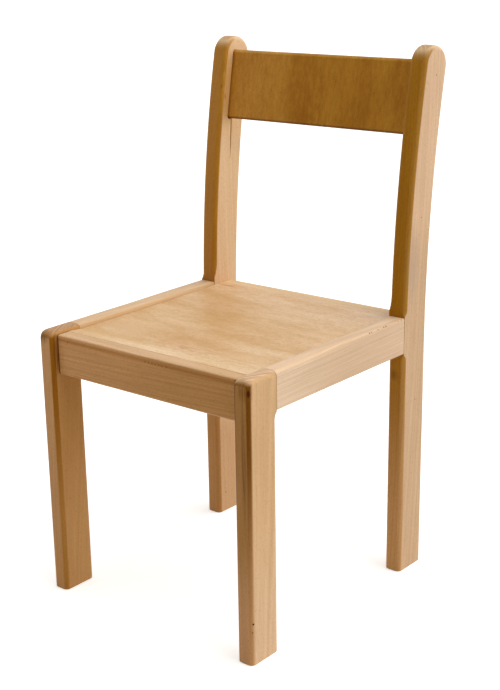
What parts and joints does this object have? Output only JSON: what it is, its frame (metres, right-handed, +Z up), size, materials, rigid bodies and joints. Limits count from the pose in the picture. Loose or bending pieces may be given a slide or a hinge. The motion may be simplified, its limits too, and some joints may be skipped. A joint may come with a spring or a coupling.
{
  "type": "choir chair",
  "caption": "Plain beech choir chair: straight rounded legs, curved rear posts with rounded tops, dished plywood seat let into a rail frame and a plywood backrest between the posts.",
  "frame": {"origin": "on the floor, in the middle of the chair's overall box", "axes": "+X to the right of someone who looks at the chair's front, +Y from the front legs to the rear posts, +Z up"},
  "size_m": [0.43, 0.505, 0.871],
  "materials": {
    "beech": "clear satin lacquer on solid beech",
    "seat_ply": "clear satin lacquer on beech veneer, worn smooth",
    "back_ply": "clear satin lacquer on darker beech veneer",
    "block": "sawn beech, unlacquered",
    "dowel": "turned beech, unlacquered",
    "screw": "zinc plated steel"
  },
  "bodies": {
    "root": {"front_leg_left": "beech", "rear_post_left": "beech", "side_rail_left": "beech", "front_leg_right": "beech", "rear_post_right": "beech", "side_rail_right": "beech", "front_rail": "beech", "rear_rail": "beech", "seat_panel": "seat_ply", "back_board": "back_ply", "corner_block_front_left": "block", "corner_block_front_right": "block", "corner_block_rear_left": "block", "corner_block_rear_right": "block", "dowel_front_rail_left_lower": "dowel", "dowel_front_rail_left_upper": "dowel", "dowel_rear_rail_left_lower": "dowel", "dowel_rear_rail_left_upper": "dowel", "dowel_side_rail_left_front_lower": "dowel", "dowel_side_rail_left_front_upper": "dowel", "dowel_side_rail_left_rear_lower": "dowel", "dowel_side_rail_left_rear_upper": "dowel", "dowel_front_rail_right_lower": "dowel", "dowel_front_rail_right_upper": "dowel", "dowel_rear_rail_right_lower": "dowel", "dowel_rear_rail_right_upper": "dowel", "dowel_side_rail_right_front_lower": "dowel", "dowel_side_rail_right_front_upper": "dowel", "dowel_side_rail_right_rear_lower": "dowel", "dowel_side_rail_right_rear_upper": "dowel", "screw_front_left_leg": "screw", "screw_front_left_rail": "screw", "screw_front_right_leg": "screw", "screw_front_right_rail": "screw", "screw_rear_left_leg": "screw", "screw_rear_left_rail": "screw", "screw_rear_right_leg": "screw", "screw_rear_right_rail": "screw"}
  },
  "joints": []
}
